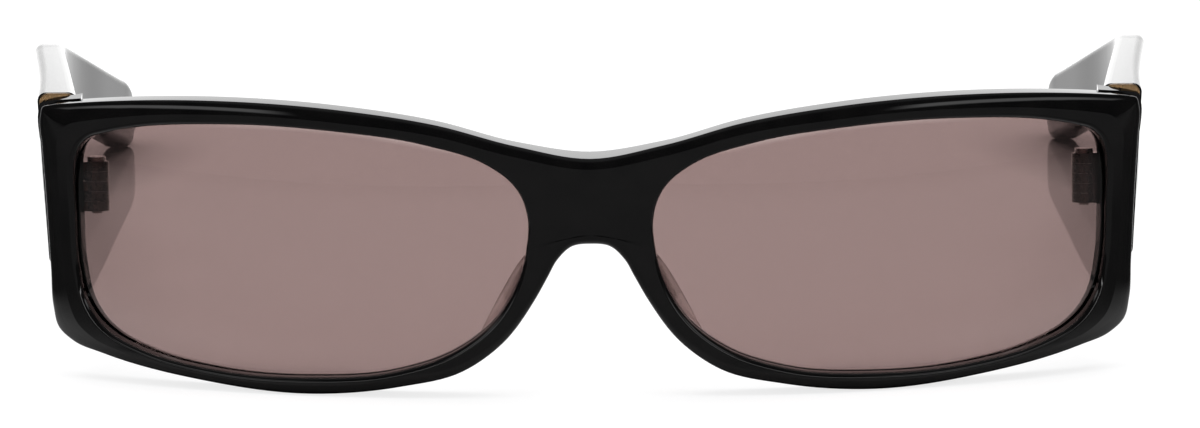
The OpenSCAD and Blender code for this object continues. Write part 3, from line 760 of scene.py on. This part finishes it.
def pad_material():
    """Clear acetate, very faintly clouded, with a polished skin and a painted dark edge shade where the skin turns
    aside from the camera.
    """
    made, tree, shader = see_through("clear_acetate", PAD_SHADOW)
    cloud = ramp(tree, noise(tree, PAD_GRAIN, detail=2), PAD_CLOUD, PAD_CLEAR)
    # Painted shade: the colour darkens where the skin turns aside from the camera, standing in for the dark rim
    # that the pad's edges refract
    skin = tree.nodes.new("ShaderNodeLayerWeight")
    skin.inputs["Blend"].default_value = 0.5
    edge = tree.nodes.new("ShaderNodeMix")
    edge.data_type = "RGBA"
    tree.links.new(smooth(tree, skin.outputs["Facing"], PAD_PAINTED_EDGE_SHADE_RANGE, 0, 1), edge.inputs["Factor"])
    tree.links.new(cloud, edge.inputs["A"])
    edge.inputs["B"].default_value = (*PAD_PAINTED_EDGE_SHADE, 1)
    tree.links.new(edge.outputs["Result"], shader.inputs["Base Color"])
    waves = bump(tree, noise(tree, PAD_WAVES, detail=1), WAVE_D, PAD_WAVES_SHOWN)
    tree.links.new(waves, shader.inputs["Normal"])
    return made


def metal_material(name, dark, light, rough, stretch):
    """Brushed metal: stretched noise in the colour, the roughness and the surface."""
    made, tree, shader, _ = new_material(name)
    shader.inputs["Metallic"].default_value = 1.0
    brush = noise(tree, BRUSH, stretch, 6)
    low, high = rough - METAL_ROUGH_SPREAD, rough + METAL_ROUGH_SPREAD
    tree.links.new(ramp(tree, brush, dark, light), shader.inputs["Base Color"])
    tree.links.new(between(tree, brush, low, high), shader.inputs["Roughness"])
    tree.links.new(bump(tree, brush, BRUSH_D, BRUSH_SHOWN), shader.inputs["Normal"])
    return made


# Stage. A dim room with one soft lamp overhead. The other lights only show in what reflects them: a
# backdrop low behind the glasses, a curved strip low in front of them and a box high on each side.
ROOM, CEILING, DARK = 0.45, 0.25, 0.04
BACKDROP, BACKDROP_TOP, STRIP, BOX = 1.45, 2.6, 4.6, 1.5
KEY_LIGHT, KEY_SIZE, KEY_PLACE = 3.0, (1.4, 0.9), (0, 0.1, 1.2)
# Where those lights begin and end, as parts of the direction in which they lie: aside, ahead and up
CEILING_UP = (0.75, 0.95)
BACKDROP_AHEAD, BACKDROP_RISE, BACKDROP_END = (0.3, 0.8), (0.34, 0.50), (0.50, 0.70)
IN_FRONT = (-0.5, -0.3)
STRIP_LOW, STRIP_HIGH, STRIP_ASIDE = (-0.015, 0.001), (0.03, 0.05), (0.45, 0.70)
BOX_LOW, BOX_HIGH, BOX_ASIDE = (0.36, 0.42), (0.50, 0.56), (0.33, 0.46)
# The strip's height in the middle, how it climbs to the sides, and how that climb eases off
STRIP_MIDDLE, STRIP_CLIMB, STRIP_EASE = 0.074, 0.27, -0.345
# The table's lightness as such, and the painted light and shade that reflections see on it, bright behind the
# glasses and dim far off, in front and beside, with the lines between, in metres
TABLE, PAINTED_TABLE_LIGHT_BACK, PAINTED_TABLE_SHADE_FRONT, PAINTED_TABLE_SHADE_FAR, PAINTED_TABLE_SHADE_SIDE = 0.74, 1.3, 0.18, 0.03, 0.08
FAR_TO_FRONT, FRONT_TO_BACK = (-1.2, -0.35), (-0.09, -0.05)
SIDE_ACROSS, SIDE_ALONG = (0.085, 0.12), (-0.17, -0.12)
ROUGH_FRONT, ROUGH_BACK = 0.9, 0.03
# The table's half size, and the reach and power of the painted contact shadow
TABLE_HALF, PAINTED_SHADOW_REACH, PAINTED_SHADOW_POWER = 2.5, 0.014, 2
# What the camera sees of it: a glow, and a matte colour that carries the shadow
TABLE_GLOW, TABLE_MATTE = 0.78, (0.33, 0.33, 0.335)
WHITE = (1, 1, 1, 1)
# The camera: its distance and focal length in metres and millimetres, and its aim past the bridge
CAMERA_DISTANCE, CAMERA_UP, CAMERA_ROLL = 1.2, math.radians(14.2), -0.0086
FOCAL, SENSOR, AIM_RIGHT, AIM_UP = 277.2, 36.0, 0.00123, 0.00405
CLIP_START, CLIP_END = 0.01, 20


def table_level(tree, rays):
    """The table's lightness. Reflections see painted light and shade on it: a painted bright area behind the
    glasses, painted shade in front of them and beside them, and a painted contact shadow close to what stands on
    it."""
    x, along, _ = coordinates(tree, "Object")
    across = math_node(tree, "ABSOLUTE", x)
    # Painted light and shade by where a point lies on the table: bright behind, dim far off, in front and beside
    front = smooth(tree, along, FAR_TO_FRONT, PAINTED_TABLE_SHADE_FAR, PAINTED_TABLE_SHADE_FRONT)
    painted_table_light = blend(tree, smooth(tree, along, FRONT_TO_BACK, 0, 1), front, PAINTED_TABLE_LIGHT_BACK)
    beside = product(tree, smooth(tree, across, SIDE_ACROSS, 0, 1), smooth(tree, along, SIDE_ALONG, 0, 1))
    painted_table_light = blend(tree, beside, painted_table_light, PAINTED_TABLE_SHADE_SIDE)
    # Rays through the lenses count as glossy too
    mirrored = math_node(tree, "SUBTRACT", rays.outputs["Is Glossy Ray"], rays.outputs["Is Transmission Ray"])
    # Painted contact shadow: the colour is darker close to what stands on it, by ambient occlusion
    shadow_occlusion = tree.nodes.new("ShaderNodeAmbientOcclusion")
    shadow_occlusion.samples = 8
    shadow_occlusion.inputs["Distance"].default_value = PAINTED_SHADOW_REACH
    painted_contact_shadow = math_node(tree, "POWER", shadow_occlusion.outputs["AO"], PAINTED_SHADOW_POWER)
    roughness = smooth(tree, along, FRONT_TO_BACK, ROUGH_FRONT, ROUGH_BACK)
    return product(tree, blend(tree, mirrored, TABLE, painted_table_light), painted_contact_shadow), roughness


def table_material():
    made, tree, shader, output = new_material("white_table")
    shader.inputs["IOR"].default_value = TABLE_IOR
    rays = tree.nodes.new("ShaderNodeLightPath")
    level, roughness = table_level(tree, rays)
    tree.links.new(level, shader.inputs["Base Color"])
    tree.links.new(roughness, shader.inputs["Roughness"])
    # The camera sees the table as white with the shadow on it, without its mirror image
    matte = tree.nodes.new("ShaderNodeBsdfDiffuse")
    matte.inputs["Color"].default_value = (*TABLE_MATTE, 1)
    white = tree.nodes.new("ShaderNodeEmission")
    white.inputs["Color"].default_value = WHITE
    white.inputs["Strength"].default_value = TABLE_GLOW
    both = tree.nodes.new("ShaderNodeAddShader")
    tree.links.new(matte.outputs["BSDF"], both.inputs[0])
    tree.links.new(white.outputs["Emission"], both.inputs[1])
    choose(tree, rays.outputs["Is Camera Ray"], shader.outputs["BSDF"], both.outputs["Shader"], output)
    return made


def build_floor():
    bm = bmesh.new()
    corners = [(-1, -1, 0), (1, -1, 0), (1, 1, 0), (-1, 1, 0)]
    bm.faces.new([bm.verts.new(TABLE_HALF * Vector(corner)) for corner in corners])
    mesh = bpy.data.meshes.new("floor")
    bm.to_mesh(mesh)
    bm.free()
    mesh.materials.append(table_material())
    add_object("floor", mesh)


def reflected_lights(tree):
    """How bright the room is in each direction, as reflections show it."""
    x, ahead, height = coordinates(tree, "Generated")
    across = math_node(tree, "ABSOLUTE", x)
    in_front = smooth(tree, ahead, IN_FRONT, 1, 0)
    backdrop = product(
        tree, smooth(tree, ahead, BACKDROP_AHEAD, 0, 1),
        smooth(tree, height, BACKDROP_RISE, BACKDROP, BACKDROP_TOP), smooth(tree, height, BACKDROP_END, 1, 0))
    # The strip's lower edge follows what the upper edges of the lenses reflect
    climb = math_node(tree, "MULTIPLY_ADD", across, STRIP_EASE, STRIP_CLIMB)
    start = math_node(tree, "MULTIPLY_ADD", across, climb, STRIP_MIDDLE)
    above = math_node(tree, "SUBTRACT", height, start)
    strip = product(
        tree, smooth(tree, above, STRIP_LOW, 0, 1), smooth(tree, above, STRIP_HIGH, 1, 0),
        smooth(tree, across, STRIP_ASIDE, 1, 0), in_front, STRIP)
    box = product(
        tree, smooth(tree, height, BOX_LOW, 0, 1), smooth(tree, height, BOX_HIGH, 1, 0),
        smooth(tree, across, BOX_ASIDE, 0, 1), in_front, BOX)
    seen = smooth(tree, height, CEILING_UP, DARK, CEILING)
    for part in (backdrop, strip, box):
        seen = math_node(tree, "ADD", seen, part)
    return seen


def build_world():
    """White for the camera and through glass, the stage's lights for reflections, and dim otherwise."""
    world = bpy.data.worlds.new("studio")
    bpy.context.scene.world = world
    world.use_nodes = True
    tree = world.node_tree
    tree.nodes.clear()
    rays = tree.nodes.new("ShaderNodeLightPath")
    room = tree.nodes.new("ShaderNodeBackground")
    white = tree.nodes.new("ShaderNodeBackground")
    room.inputs["Color"].default_value = white.inputs["Color"].default_value = WHITE
    strength = blend(tree, rays.outputs["Is Glossy Ray"], ROOM, reflected_lights(tree))
    tree.links.new(strength, room.inputs["Strength"])
    clear = math_node(tree, "MAXIMUM", rays.outputs["Is Camera Ray"], rays.outputs["Is Transmission Ray"])
    output = tree.nodes.new("ShaderNodeOutputWorld")
    choose(tree, clear, room.outputs["Background"], white.outputs["Background"], output)


def build_lamp(name, level, size, place):
    """A soft lamp of that brightness, facing the glasses."""
    light = bpy.data.lights.new(name, "AREA")
    light.shape = "RECTANGLE"
    light.size, light.size_y = size
    light.energy = level * math.pi * size[0] * size[1]
    lamp = add_object(name, light)
    aim = (-Vector(place)).to_track_quat("-Z", "Y")
    lamp.matrix_world = Matrix.Translation(place) @ aim.to_matrix().to_4x4()
    lamp.visible_camera = lamp.visible_glossy = False


def build_camera():
    """The photograph is taken straight from the front and from a little above."""
    bridge = Matrix.Scale(MM, 4) @ STAND @ Vector((0, 0, ARCH_Z))
    right = Vector((1, 0, 0))
    up = Vector((0, math.sin(CAMERA_UP), math.cos(CAMERA_UP)))
    back = Vector((0, -math.cos(CAMERA_UP), math.sin(CAMERA_UP)))
    place = bridge + right * AIM_RIGHT + up * AIM_UP + back * CAMERA_DISTANCE
    data = bpy.data.cameras.new("camera")
    data.lens, data.sensor_width = FOCAL, SENSOR
    data.clip_start, data.clip_end = CLIP_START, CLIP_END
    camera = add_object("camera", data)
    axes = Matrix((right, up, back)).transposed().to_4x4()
    camera.matrix_world = Matrix.Translation(place) @ axes @ Matrix.Rotation(CAMERA_ROLL, 4, "Z")
    bpy.context.scene.camera = camera


# The glasses on the stage
def dress(piece, material):
    piece.data.materials.clear()
    piece.data.materials.append(material)


def put(piece, body, material, node):
    dress(piece, material)
    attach(piece, body)
    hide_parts(node)


bpy.context.scene.view_settings.view_transform = "Standard"
build_camera()
build_floor()
build_world()
build_lamp("overhead", KEY_LIGHT, KEY_SIZE, KEY_PLACE)
acetate, lens, pads = acetate_material(), lens_material(), pad_material()
metals = {slot: metal_material(*look) for slot, look in METALS.items()}
bronze = metals["end_plate_metal"]
put(build_rim(), "front", acetate, "front_frame")
for side in SIDES:
    temple = "temple_" + side
    put(build_endpiece(side), "front", acetate, "front_frame")
    put(build_lens(side), "front", lens, "lens_" + side)
    put(build_pad(side), "front", pads, "nose_pad_" + side)
    put(build_temple(side), temple, acetate, temple)
    put(build_plate(side), temple, bronze, "temple_end_plate_" + side)
for part in frame["record"]["subparts"]:
    name, slot = part["node"], part["material_slot"]
    if slot in metals and slot != "end_plate_metal":
        dress(frame["nodes"][name], metals[slot])
        soften(frame["nodes"][name], SOFT_METAL)
